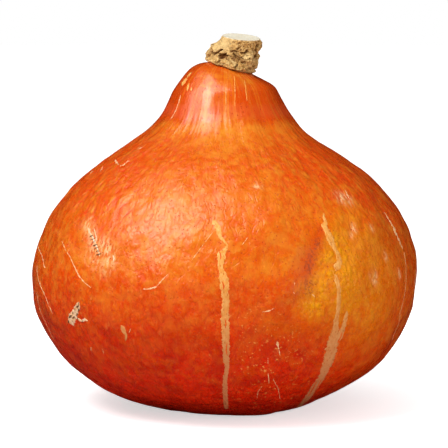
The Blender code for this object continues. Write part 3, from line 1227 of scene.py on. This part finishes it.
@dataclass
class Stem:
    """The short cut stem: a leaning column of craggy cork, with a callus on its left and a pale cut face.

    A point of outline is a share of the length and a radius. A lump has its degrees round, its share of
    the length, half its width in degrees, half its height as a share, and how far it stands out. A ridge
    runs from one place to another, both in degrees round and a share of the length, and has half its width
    and how far it stands out. Below zero it is a crack.
    """

    foot: Point = (0.0027, 0.0, 0.0)
    top: Point = (0.0075, -0.0010, 0.1624)
    slope: float = math.tan(math.radians(5.5))
    nod: float = math.tan(math.radians(8.0))
    sunk: float = 0.0006
    noise_seed: int = 12
    dish: float = 0.0004
    collar_at: float = -50.0
    collar_half: float = 25.0
    plate_size: float = 0.0036
    coarse_size: float = 0.0046
    sand_size: float = 0.0011
    pit_size: float = 0.0016
    crack_depth: float = 0.0006
    pit_depth: float = 0.0005
    sides: int = 300
    rings: int = 150
    cut_rings: int = 44
    girth: float = 0.009
    length: float = 0.0155
    outline: tuple[Point, ...] = (
        (0.00, 0.0095),
        (0.08, 0.0103),
        (0.14, 0.0103),
        (0.30, 0.0102),
        (0.45, 0.0096),
        (0.60, 0.0090),
        (0.80, 0.0084),
        (0.93, 0.0084),
        (1.00, 0.0081),
    )
    lumps: tuple[Point, ...] = (
        (-85.0, 0.50, 38.0, 0.24, 0.0027),
        (-20.0, 0.22, 30.0, 0.10, 0.0010),
        (35.0, 0.42, 24.0, 0.10, 0.0009),
        (82.0, 0.78, 17.0, 0.11, 0.0008),
        (80.0, 0.10, 34.0, 0.14, -0.0010),
        (120.0, 0.25, 30.0, 0.14, 0.0013),
        (165.0, 0.55, 34.0, 0.14, 0.0011),
        (-140.0, 0.72, 26.0, 0.12, 0.0010),
    )
    ridges: tuple[Point, ...] = (
        (-95.0, 0.20, -42.0, 0.10, 0.0010, 0.0010),
        (-112.0, 0.64, -66.0, 0.66, 0.0011, 0.0013),
        (-42.0, 0.12, 2.0, 0.08, 0.0010, 0.0009),
        (6.0, 0.10, 30.0, 0.18, 0.0009, 0.0009),
        (34.0, 0.18, 62.0, 0.10, 0.0010, 0.0009),
        (4.0, 0.46, 30.0, 0.42, 0.0009, 0.0007),
        (86.0, 0.92, 90.0, 0.55, 0.0009, 0.0010),
        (-60.0, 0.40, -50.0, 0.54, 0.0006, -0.0017),
        (-38.0, 0.32, -27.0, 0.46, 0.0006, -0.0017),
        (-12.0, 0.61, -4.0, 0.58, 0.0005, -0.0010),
        (14.0, 0.60, 28.0, 0.66, 0.0005, -0.0010),
        (66.0, 0.86, 64.0, 0.30, 0.0006, -0.0013),
        (130.0, 0.20, 165.0, 0.60, 0.0005, -0.0013),
        (-170.0, 0.30, -128.0, 0.45, 0.0005, -0.0013),
        (-150.0, 0.85, -110.0, 0.60, 0.0006, -0.0010),
        (100.0, 0.55, 150.0, 0.85, 0.0009, 0.0008),
    )

    def radius(self, azimuth: np.ndarray, share: np.ndarray) -> np.ndarray:
        """Works out the stem's radius with its lumps, before ridges and crags.

        Args:
            azimuth: The places' turns round the stem.
            share: How far up the stem they are.

        Returns:
            The radius at each place.
        """
        radius = np.interp(share, *zip(*self.outline))
        for degrees, at, half_turn, half_length, height in self.lumps:
            turn = np.degrees(np.remainder(azimuth - math.radians(degrees) + math.pi, 2 * math.pi) - math.pi)
            radius = radius + height * np.exp(-((turn / half_turn) ** 2) - ((share - at) / half_length) ** 2)
        return radius

    def ridge_relief(self, azimuth: np.ndarray, share: np.ndarray) -> np.ndarray:
        """Works out the rolls of cork, which stand out, and the cracks, which go in.

        Args:
            azimuth: The places' turns round the stem.
            share: How far up the stem they are.

        Returns:
            How far the surface stands out at each place.
        """
        relief = np.zeros_like(azimuth)
        for turn_a, share_a, turn_b, share_b, half_width, height in self.ridges:
            run = math.radians(turn_b - turn_a) * self.girth, (share_b - share_a) * self.length
            off = np.remainder(azimuth - math.radians(turn_a) + math.pi, 2 * math.pi) - math.pi
            x, y = off * self.girth, (share - share_a) * self.length
            at = np.clip((x * run[0] + y * run[1]) / (run[0] ** 2 + run[1] ** 2), 0.0, 1.0)
            gap = np.hypot(x - at * run[0], y - at * run[1])
            relief += height * np.exp(-((gap / half_width) ** 2))
        return relief

    def crag(self, point: Vector, share: float, collar: float) -> tuple[float, float, float]:
        """Works out the cracked plates of cork low on the stem, and the sandy crumbs above them.

        Args:
            point: The place on the stem.
            share: How far up the stem it is.
            collar: How much the place belongs to the smooth pale collar, from 0 to 1.

        Returns:
            The relief, how much painted shade it gets in cracks, pits and low crumbs, and how pale it is, both
            from 0 to 1.
        """
        plated = 1.0 - float(smooth_step(0.52, 0.74, share + 0.22 * noise.noise(point / 0.0050)))
        plated *= 1.0 - 0.8 * collar
        bent = (point + noise.noise_vector(point / 0.0034) * 0.0009) / self.plate_size
        gaps, centres = noise.voronoi(bent)
        open_here = float(smooth_step(-0.35, 0.25, noise.noise(point / 0.0026 + Vector((1.0, 5.0, 2.0)))))
        crack = (1.0 - float(smooth_step(0.02, 0.16, gaps[1] - gaps[0]))) * plated * open_here
        tip = noise.noise_vector(centres[0] * 3.7)
        plate = plated * (0.0017 * (bent - centres[0]).dot(tip) + 0.0006 * tip.x)
        coarse = noise.noise(point / self.coarse_size) + 0.5 * noise.noise(point / 0.0020)
        sand = noise.noise(point / self.sand_size) + 0.8 * noise.noise(point / 0.0005)
        crumbs = (1.0 - 0.7 * collar) * (1.0 - 0.35 * plated)
        pitted = noise.noise(point / self.pit_size + Vector((7.0, 1.0, 4.0)))
        pit = float(smooth_step(0.30, 0.55, pitted)) * (1.0 - collar)
        relief = 0.0004 * coarse + plate - self.crack_depth * crack
        relief += 0.00026 * sand * crumbs - self.pit_depth * pit
        # Painted shade in cracks, pits and the low places between crumbs.
        hollow = max(0.55 * crack, 0.85 * pit, 0.80 * crumbs * float(smooth_step(0.15, -0.6, sand)))
        tone = max(collar, plated * float(smooth_step(-0.3, 0.5, tip.y + tip.z)))
        return relief, hollow, tone

    def spot(self, fruit: Fruit, out: Vector, radius: float, share: float) -> Vector:
        """Finds a place between the fruit's skin and the slanting cut, before it is weathered.

        Args:
            fruit: The fruit that the stem has grown on.
            out: The direction from the stem's middle.
            radius: How far out the place is.
            share: How far up the stem it is.

        Returns:
            The place.
        """
        low = Vector(self.foot) + out * radius
        above = Vector((low.x, low.y, 1.0))
        low.z = fruit.surface.ray_cast(above, Vector((0.0, 0.0, -1.0)))[0].z - self.sunk
        high = Vector(self.top) + out * radius
        high.z -= self.slope * (out.x * radius) - self.nod * (out.y * radius)
        return low.lerp(high, share)

    def weather(self, point: Vector, turn: float, share: float, roll: float) -> tuple[float, Point]:
        """Works out the rough cork at a place on the stem's wall.

        Args:
            point: The place.
            turn: Its turn round the stem.
            share: How far up the stem it is.
            roll: How far a roll stands out there, or a crack goes in.

        Returns:
            How far the place moves out, and its painted shade, cut and tone.
        """
        strength = float(smooth_step(0.0, 0.10, share)) * (1.0 - 0.60 * float(smooth_step(0.93, 1.0, share)))
        aside = (math.degrees(turn) + 180.0) % 360.0 - 180.0 - self.collar_at
        collar = math.exp(-((aside / self.collar_half) ** 2)) * float(smooth_step(0.42, 0.60, share))
        relief, deep, pale = self.crag(point, share, collar)
        # More painted shade where rolls and plates go in.
        deep = max(deep, min(-roll / 0.0008, 1.0), min(-relief / 0.0010, 1.0) - 0.3, 0.0)
        # Painted shade at the seam with the skin, under the stem's overhanging foot.
        seam_shade = 1.0 - float(smooth_step(0.03, 0.09, share))
        on_rim = float(smooth_step(0.965, 1.0, share)) * 0.8
        return (relief + roll) * strength, (max(deep * strength, seam_shade), on_rim, pale)

    def faces(self, rows: int) -> list[tuple[int, ...]]:
        """Joins the rows of points into a closed skin.

        Args:
            rows: How many rows there are, from the foot up and in to the middle of the cut.

        Returns:
            The faces. After the rows come two points, the middle of the cut and that of the foot.
        """
        faces, last = [], rows * self.sides
        for k in range(self.sides):
            after = (k + 1) % self.sides
            for low in range(0, last - self.sides, self.sides):
                faces.append((low + k, low + after, low + self.sides + after, low + self.sides + k))
            faces.append((last - self.sides + k, last - self.sides + after, last))
            faces.append((after, k, last + 1))
        return faces

    def build(self, fruit: Fruit, material: bpy.types.Material) -> bpy.types.Object:
        """Builds the stem on the fruit's neck.

        Args:
            fruit: The fruit that it has grown on.
            material: The cork's finish.

        Returns:
            The finished piece, which stands for the solid stem.
        """
        noise.seed_set(self.noise_seed)
        turns = np.linspace(0.0, FULL_TURN, self.sides, endpoint=False)
        rows = [(k / self.rings, 1.0) for k in range(self.rings + 1)]
        rows += [(1.0, 1.0 - k / self.cut_rings) for k in range(1, self.cut_rings)]
        points, looks = [], []
        for share, inward in rows:
            shares = np.full(self.sides, share)
            reach = self.radius(turns, shares) * inward
            circle = [Vector((math.sin(turn) * 3.6, math.cos(turn) * 3.6, share * 6.0)) for turn in turns]
            bend = np.array([noise.noise_vector(place)[:2] for place in circle])
            ridge = self.ridge_relief(turns + bend[:, 0] * 0.20, shares + bend[:, 1] * 0.09)
            for turn, radius, roll in zip(turns, reach, ridge):
                out = Vector((math.sin(turn), -math.cos(turn), 0.0))
                point = self.spot(fruit, out, radius, share)
                look = (0.0, 1.0, 0.0)
                if inward == 1.0:
                    raised, look = self.weather(point, turn, share, roll)
                    point += out * raised
                else:
                    point.z += 0.00016 * noise.noise(point / 0.0016) - self.dish * (1.0 - inward**2)
                points.append(point)
                looks.append(look)
        points.append(Vector(self.top) - Vector((0.0, 0.0, self.dish)))
        points.append(Vector(self.foot) + Vector((0.0, 0.0, points[0].z)))
        looks += [(0.0, 1.0, 0.0), (0.0, 0.0, 0.0)]
        mesh = bpy.data.meshes.new("stem_cork")
        mesh.from_pydata(points, [], self.faces(len(rows)))
        for name, values in zip(("hollow", "cut", "tone"), np.array(looks, np.float32).T):
            made = mesh.attributes.new(name, "FLOAT", "POINT")
            made.data.foreach_set("value", np.ascontiguousarray(values))
        mesh.shade_smooth()
        turn_outward(mesh)
        mesh.materials.append(material)
        piece = add_piece("stem_cork", mesh)
        wear(piece, "cork", "stem")
        return piece


@dataclass(frozen=True)
class Softbox:
    """A rectangular soft light, in metres and watts. Towards is its direction as the squash sees it.

    In_gloss says whether glossy skin mirrors it, and in_diffuse whether it lights the skin's own colour.
    """

    name: str
    towards: Point
    distance: float
    size: tuple[float, float]
    watts: float
    in_gloss: bool = True
    in_diffuse: bool = True

    def add(self, middle: Vector) -> None:
        """Adds the light.

        Args:
            middle: The place that it shines at.
        """
        data = bpy.data.lights.new(self.name, "AREA")
        data.shape = "RECTANGLE"
        data.size, data.size_y = self.size
        data.energy = self.watts
        light = bpy.data.objects.new(self.name, data)
        out = Vector(self.towards).normalized()
        light.location = middle + out * self.distance
        light.rotation_euler = out.to_track_quat("Z", "Y").to_euler()
        light.visible_glossy = self.in_gloss
        light.visible_diffuse = self.in_diffuse
        bpy.context.scene.collection.objects.link(light)


@dataclass(frozen=True)
class Studio:
    """A pale floor, a white surround and soft lights."""

    floor_size: float = 12.0
    floor_colour: Colour = (0.93, 0.93, 0.93)
    floor_bounce: Colour = (0.56, 0.42, 0.35)
    surround: float = 0.26
    surround_in_gloss: float = 0.006
    backdrop: float = 1.0
    middle: Point = (0.0, 0.0, 0.08)
    lights: tuple[Softbox, ...] = (
        Softbox("key", (-0.48, -0.46, 0.88), 0.9, (0.50, 0.54), 7.5, in_gloss=False),
        Softbox("halo", (-0.49, -0.33, 0.84), 0.9, (0.78, 0.90), 8.6, in_diffuse=False),
        Softbox("core", (-0.53, -0.42, 0.84), 0.9, (0.44, 0.40), 3.0, in_diffuse=False),
        Softbox("fill", (0.95, -0.60, 0.08), 1.3, (0.9, 0.9), 9.0, in_gloss=False),
        Softbox("front", (-0.32, -1.00, 0.00), 1.3, (1.1, 0.5), 6.3, in_gloss=False),
    )

    def add_floor(self) -> None:
        """Adds the floor."""
        half = self.floor_size / 2
        mesh = bpy.data.meshes.new("floor")
        corners = [(-half, -half, 0.0), (half, -half, 0.0), (half, half, 0.0), (-half, half, 0.0)]
        mesh.from_pydata(corners, [], [(0, 1, 2, 3)])
        material, graph, shader = start_finish("floor", 0.9)
        path = graph.node("ShaderNodeLightPath", {})
        by_eye, in_gloss = (Wire(graph, path.outputs[name]) for name in ("Is Camera Ray", "Is Glossy Ray"))
        bounce = graph.mix(in_gloss, self.floor_bounce, (0.004, 0.004, 0.004))
        graph.plug(shader.inputs["Base Color"], graph.mix(by_eye, bounce, self.floor_colour))
        place = graph.wire("ShaderNodeTexCoord", {}, "Object")
        away = graph.vector("LENGTH", place)
        graph.plug(shader.inputs["Emission Color"], WHITE)
        graph.plug(shader.inputs["Emission Strength"], away.step(0.02, 0.16, 0.55, 1.0) * by_eye)
        mesh.materials.append(material)
        add_piece("floor", mesh)

    def add_surround(self) -> None:
        """Makes the world white to the eye and dimmer as a light."""
        world = bpy.data.worlds.new("surround")
        world.use_nodes = True
        graph = Graph(world.node_tree)
        world.node_tree.nodes.clear()
        seen = graph.node("ShaderNodeBackground", {"Color": WHITE, "Strength": self.backdrop})
        path = graph.node("ShaderNodeLightPath", {})
        by_eye, in_gloss = (path.outputs[name] for name in ("Is Camera Ray", "Is Glossy Ray"))
        strength = Wire(graph, in_gloss).step(0.0, 1.0, self.surround, self.surround_in_gloss)
        light = graph.node("ShaderNodeBackground", {"Color": WHITE, "Strength": strength})
        both = graph.node("ShaderNodeMixShader", {0: by_eye, 1: light.outputs[0], 2: seen.outputs[0]})
        graph.node("ShaderNodeOutputWorld", {"Surface": both.outputs[0]})
        bpy.context.scene.world = world

    def build(self) -> None:
        """Adds the floor, the surround and the lights."""
        self.add_floor()
        self.add_surround()
        for light in self.lights:
            light.add(Vector(self.middle))
        bpy.context.scene.view_settings.view_transform = "Standard"
        LOG.info("studio: floor, surround and %d lights", len(self.lights))


STEM_CORK = CorkFinish(
    "stem_cork", (0.82, 0.58, 0.25), (0.55, 0.29, 0.075), (0.14, 0.046, 0.007), grain=0.0009,
    pore_share=0.20, pore_size=0.0012, cut=(0.78, 0.75, 0.63),
)
MARK_FINISHES = {
    # The stripes' low colour is painted shade towards the bottom.
    MarkKind.STRIPE: CorkFinish(
        "stripe_cork", (0.90, 0.50, 0.16), (0.80, 0.31, 0.050), (0.58, 0.12, 0.008), 0.50, stretch=2.0,
        grain=0.0012, pore_share=0.8, pore_size=0.0012, bump=0.07, low=(0.60, 0.22, 0.10),
    ),
    MarkKind.SCAB: CorkFinish(
        "scab_cork", (0.92, 0.74, 0.56), (0.78, 0.46, 0.22), (0.40, 0.16, 0.06), 0.75, bump=0.08
    ),
    MarkKind.SCRATCH: CorkFinish(
        "scratch_cork", (0.90, 0.60, 0.36), (0.86, 0.48, 0.22), (0.60, 0.20, 0.05), 0.7, bump=0.05
    ),
    # Painted shade: dark ribbons on the scabs' slits and holes.
    MarkKind.SLIT: CorkFinish(
        "slit_cork", (0.26, 0.11, 0.045), (0.15, 0.060, 0.025), (0.06, 0.022, 0.010), 0.8
    ),
    MarkKind.ISLAND: CorkFinish(
        "island_skin", (0.84, 0.16, 0.01), (0.74, 0.070, 0.003), (0.50, 0.03, 0.002), 0.4, bump=0.05
    ),
}

BLUSHES = (
    Blush(Layer.AMBER, 0.0075, 1.0, ((314, 306), (321, 284), (329, 258), (335, 240))),
    Blush(Layer.AMBER, 0.0120, 0.95, ((338, 250), (346, 276), (344, 300))),
    Blush(Layer.AMBER, 0.0150, 0.50, ((356, 232), (372, 262), (376, 290), (370, 316))),
    Blush(Layer.AMBER, 0.0060, 0.20, ((262, 272), (290, 262))),
    Blush(Layer.AMBER, 0.0050, 0.20, ((268, 322), (290, 330), (310, 322))),
    # A dark streak along the dent, left of the amber patch.
    Blush(Layer.BRUISE, 0.0026, 0.80, ((318, 244), (312, 258), (308, 274), (309, 292))),
    Blush(Layer.BRUISE, 0.0026, 0.45, ((300, 282), (293, 296))),
    Blush(Layer.RED, 0.0034, 1.0, ((321, 230), (313, 250), (305, 274))),
    Blush(Layer.PALE, 0.0028, 0.9, ((341, 198), (347, 199))),
    Blush(Layer.PALE, 0.0020, 0.9, ((373, 275), (375, 279))),
    Blush(Layer.PALE, 0.0015, 0.8, ((354, 227), (352, 234))),
    Blush(Layer.PALE, 0.0012, 0.7, ((371, 226), (372, 229))),
    Blush(Layer.PALE, 0.0012, 0.7, ((385, 255), (386, 258))),
    Blush(Layer.PALE, 0.0012, 0.8, ((399, 272), (400, 276))),
    Blush(Layer.PALE, 0.0013, 0.8, ((255, 186), (260, 187))),
    Blush(Layer.PALE, 0.0028, 0.60, ((87, 222), (92, 236), (96, 262))),
    Blush(Layer.PALE, 0.0034, 0.75, ((103, 244), (110, 256), (107, 266))),
    Blush(Layer.LIGHT, 0.0060, 0.7, ((94, 262), (108, 262))),
    Blush(Layer.SPECKS, 0.0180, 1.0, ((258, 350), (282, 372), (268, 398))),
    Blush(Layer.LIGHT, 0.0100, 0.8, ((225, 128), (240, 134), (222, 142))),
    # Lighter orange at the top of the neck, partly painted sheen.
    Blush(Layer.LIGHT, 0.0050, 0.7, ((228, 74), (246, 80))),
    # Painted highlight: a lighter base where the key lamp's reflection lies on the body.
    Blush(Layer.LIGHT, 0.0160, 0.50, ((158, 205), (176, 226))),
    # Painted highlight: a lighter base under the reflection on the neck.
    Blush(Layer.LIGHT, 0.0060, 1.0, ((209, 78), (208, 94))),
    # Painted highlight: a lighter base under the fainter reflection low on the neck.
    Blush(Layer.LIGHT, 0.0050, 0.8, ((206, 112), (204, 122))),
    Blush(Layer.RED, 0.0052, 0.9, ((242, 100), (250, 112), (262, 118))),
    # Painted shade: deeper red on the neck's left and right edges, where the light falls off.
    Blush(Layer.RED, 0.0130, 0.7, ((75, 0.93), (88, 0.86)), Side.ROUND),
    Blush(Layer.RED, 0.0110, 0.6, ((-80, 0.92), (-88, 0.85)), Side.ROUND),
)

# Each mark of the photograph is a line of points: a pixel, and the mark's width there in pixels.
STRIPES = [
    ((213, 220, 5), (218, 227, 6), (220, 237, 3.5), (225, 242, 2), (228, 246, 1.5)),
    ((228, 244, 1.5), (226, 249, 3), (221, 254, 8), (221, 261, 7), (220, 267, 4), (223, 275, 7),
     (224, 280, 10), (225, 292, 7), (226, 303, 7), (225, 313, 7), (225, 323, 8), (225.5, 335, 7),
     (226, 348, 7), (226, 357, 6.5), (227, 367, 4), (225, 380, 4.5), (225, 392, 5), (226.5, 409, 4)),
    ((324, 213, 2), (324, 217, 3), (326, 223, 4), (324, 226, 6), (328, 233, 7), (331, 241, 8),
     (335, 249, 4.5), (338, 255, 5), (340, 262, 6), (337, 267, 8), (335, 271, 3)),
    ((335, 274, 2), (337, 281, 5), (339, 290, 4.5), (339, 300, 4.5), (338, 311, 4.5), (336, 321, 6),
     (335, 331, 9), (334, 337, 12), (332, 348, 14), (328, 362, 13), (324, 373, 10), (316, 385, 9),
     (307, 398, 8), (298, 407, 5)),
    ((347, 311, 4), (346, 317, 4), (344, 325, 5), (341, 333, 7), (338, 341, 8)),
    ((121.5, 325, 4), (123.5, 330, 5), (124, 334, 4.5)),
    ((125, 331, 2.5), (126, 336, 3), (125.5, 341, 1.5)),
    ((192, 72, 3), (189, 75, 6), (187, 78, 5)),
    ((186, 78, 7), (184, 82, 9), (182, 86, 5)),
    ((189, 83, 2), (188, 87, 3), (187, 91, 2)),
    ((192, 87, 2), (191, 91, 2.5)),
    ((226, 84, 0.7), (226, 97, 0.8), (226, 112, 0.6)),
    ((234, 76, 0.7), (235, 90, 0.8), (235, 106, 0.6)),
    ((244, 80, 0.7), (246, 92, 0.8), (247, 101, 0.7)),
]

ISLANDS = [
    ((340, 346, 1.2), (337, 354, 2.2), (335, 361, 1.4)),
    ((342, 332, 1.0), (340, 338, 1.6), (337, 343, 1.0)),
    ((317, 381, 0.8), (313, 388, 1.6), (308, 396, 1.0)),
    ((321, 379, 0.8), (318, 386, 1.2), (314, 392, 0.8)),
    ((222, 281, 1.0), (224, 286, 1.6), (223, 290, 1.0)),
    ((225, 318, 0.8), (226, 324, 1.3), (225, 329, 0.8)),
    ((227, 343, 0.8), (226, 350, 1.2), (227, 355, 0.8)),
    ((219, 250, 0.8), (221, 256, 1.4), (220, 260, 0.8)),
]

SCABS = [
    ((88, 228, 2.5), (90, 233, 1.6), (93, 238, 2), (96, 245, 2.4), (98, 250, 2), (100, 257, 1.2)),
    ((94, 228, 1), (96, 236, 1.5), (97, 242, 1)),
    ((79, 302, 3), (77.5, 307, 6), (75, 313, 8), (72, 319, 10), (70, 323.5, 9)),
    ((76, 318, 3), (82, 321, 2.5), (85, 319.5, 3), (88, 321, 1.5)),
    ((113, 255, 1.2), (114, 259, 1.8), (113.5, 263, 1.0)),
    ((202, 61, 2), (206, 60.5, 3), (211, 60, 2)),
]

SCRATCHES = [
    ((62, 241, 1), (70, 257, 1.2), (79, 276, 2), (84, 282, 1), (91, 288, 1.6)),
    ((38, 246, 1), (42, 256, 1.3), (45, 268, 1.3)),
    ((37, 266, 1.2), (43, 291, 2), (53, 314, 2)),
    ((37, 292, 1), (41, 313, 1.2), (54, 340, 1)),
    ((142, 289, 1.5), (149, 289, 2.2), (156, 287, 1.6), (168, 274, 1)),
    ((213, 232, 1), (203, 245, 0.9), (191, 261, 0.8)),
    ((248, 237, 1), (245, 241, 0.9), (242, 245, 0.8)),
    ((384, 212, 2.5), (392, 225, 5.5), (398, 238, 6.0), (403, 249, 4.0)),
    ((404, 252, 0.8), (406, 272, 1.0), (405, 292, 0.8), (400, 313, 1.0), (392, 340, 0.8)),
    ((277, 341, 4), (278, 345, 3), (279, 350, 1.4), (280, 356, 1)),
    ((268, 357, 1.4), (268, 364, 1.2)),
    ((268, 373, 1.2), (269, 384, 1.0)),
    ((262, 386, 1.0), (258, 392, 1.2), (257, 398, 1.0)),
    ((273, 379, 1.0), (278, 388, 1.0), (280, 399, 1.0)),
    ((262, 312, 0.8), (269, 311, 1.6), (275, 308, 0.8)),
    ((181, 93, 2), (179, 102, 2.2), (175, 112, 1.8), (170, 120, 1.2)),
    ((138, 149, 4.0), (143, 147, 3.0)),
    ((115, 160, 2.0), (117, 163, 3.4), (119, 165, 2.0)),
    ((120, 166, 2.0), (124, 165, 3.2), (125, 163, 2.0)),
    ((126, 163, 2.0), (128, 161, 3.0), (130, 161, 1.5)),
    ((100, 172, 2), (103, 166, 2.2)),
    ((90, 174, 2), (93, 171, 2)),
    ((129, 333, 1.2), (131, 328, 1.5)),
    ((91, 347, 2), (91, 351, 2)),
    ((102, 348, 1.6), (104, 354, 1.6)),
    ((345, 190, 1.2), (348, 196, 1.8), (350, 201, 1.5)),
    ((295, 282, 2.4), (294, 286, 1.5)),
    ((293, 292, 1.6), (295, 294, 1.6)),
    ((312, 294, 1.6), (315, 297, 1.4)),
]


# For each stripe behind: degrees round, the heights of its top and foot as shares, and its width in mm.
STRIPES_BEHIND = (
    (108, 0.60, 0.16, 2.6),
    (144, 0.46, 0.05, 3.2),
    (-144, 0.66, 0.30, 2.2),
    (-108, 0.40, 0.03, 2.8),
    (180, 0.70, 0.44, 1.6),
)
# The holes in the low scab: a pixel, and the hole's size in pixels.
SCAB_HOLES = (
    (79.2, 303.4, 1.8), (77.6, 306.4, 2.6), (75.6, 309.6, 2.8), (78.8, 310.4, 2.4), (73.2, 312.8, 3.0),
    (76.8, 314.2, 3.2), (70.8, 316.0, 2.6), (74.0, 317.0, 3.0), (77.6, 318.2, 2.2), (72.4, 320.8, 3.2),
    (69.0, 321.6, 2.4), (82.6, 320.6, 1.6),
)
SCABS_BEHIND = 7
SCRATCHES_BEHIND = 26
BEHIND_SEED = 5
SLIT_SEED = 8


def marks_behind() -> dict[MarkKind, list[Mark]]:
    """Draws marks for the sides that the photograph doesn't show: cork stripes, scabs and scratches.

    Returns:
        The marks of each kind. Each point is degrees round, a share of the height, and a width in mm.
    """
    draw = random.Random(BEHIND_SEED)
    found = {kind: [] for kind in MarkKind}
    steps = 9
    for azimuth, high, low, wide in STRIPES_BEHIND:
        points, drift = [], 0.0
        for k in range(steps):
            drift += draw.uniform(-1.4, 1.4)
            share = high + (low - high) * k / (steps - 1)
            points.append((azimuth + drift, share, wide * draw.uniform(0.55, 1.3)))
        found[MarkKind.STRIPE].append(Mark(tuple(points), Side.ROUND))
    for _ in range(SCABS_BEHIND):
        azimuth, share = draw.uniform(85, 275), draw.uniform(0.15, 0.70)
        lean = draw.uniform(-2.5, 2.5)
        size = draw.uniform(1.2, 2.8)
        points = ((azimuth, share, size * 0.5), (azimuth + lean * 0.9, share - 0.020, size),
                  (azimuth + lean * 0.6, share - 0.045, size * 0.7),
                  (azimuth + lean, share - 0.070, size * 0.4))
        found[MarkKind.SCAB].append(Mark(points, Side.ROUND))
    for _ in range(SCRATCHES_BEHIND):
        azimuth, share = draw.uniform(80, 280), draw.uniform(0.10, 0.86)
        lean, drop = draw.uniform(-8, 8), draw.uniform(0.02, 0.12)
        points = ((azimuth, share, 0.4), (azimuth + lean * 0.6, share - drop * 0.5, draw.uniform(0.5, 1.0)),
                  (azimuth + lean, share - drop, 0.4))
        found[MarkKind.SCRATCH].append(Mark(points, Side.ROUND))
    return found


def scab_slits() -> list[tuple[Point, ...]]:
    """Lays dark slits across the two large scabs of the photograph, painted shade of their openings: a ladder
    of rungs, then holes.

    Returns:
        The slits, each a line of two points.
    """
    slits = []
    draw = random.Random(SLIT_SEED)
    for k in range(7):
        x, y = 91.5 + k * 1.25, 236.0 + k * 3.0
        slant, wide = 0.5 * math.sin(k * 2.3), 1.5 - 0.35 * (k % 3)
        slits.append(((x - 2.3 - slant, y + 1.2, wide), (x + 1.9 + slant, y - 1.0 + slant, wide)))
    for x, y, size in SCAB_HOLES:
        across, rise = draw.uniform(-0.5, 1.6), draw.uniform(0.7, 1.7)
        x, y = x + draw.uniform(-0.5, 0.5), y + draw.uniform(-0.5, 0.5)
        wide = size * draw.uniform(0.90, 1.45)
        slits.append(((x - across, y + rise, wide), (x + across, y - rise, wide * draw.uniform(0.5, 1.0))))
    return slits


def main() -> None:
    """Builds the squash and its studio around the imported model."""
    logging.basicConfig(level=logging.INFO, format="%(name)s: %(message)s")
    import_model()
    view = PhotoView()
    view.add_camera()
    effects = Effects()
    fruit = Fruit()
    fruit.build(SkinFinish().build(effects))
    fruit.paint(view, BLUSHES)
    Stem().build(fruit, STEM_CORK.build(effects))
    recipe = SkinMarks.recipe()
    behind = marks_behind()
    for kind, paths in ((MarkKind.STRIPE, STRIPES), (MarkKind.SCAB, SCABS), (MarkKind.SCRATCH, SCRATCHES),
                        (MarkKind.SLIT, scab_slits()), (MarkKind.ISLAND, ISLANDS)):
        marks = [Mark(path) for path in paths] + behind[kind]
        SkinMarks(kind, marks).build(fruit, view, recipe, MARK_FINISHES[kind].build(effects))
    Studio().build()


if __name__ == "__main__":
    main()
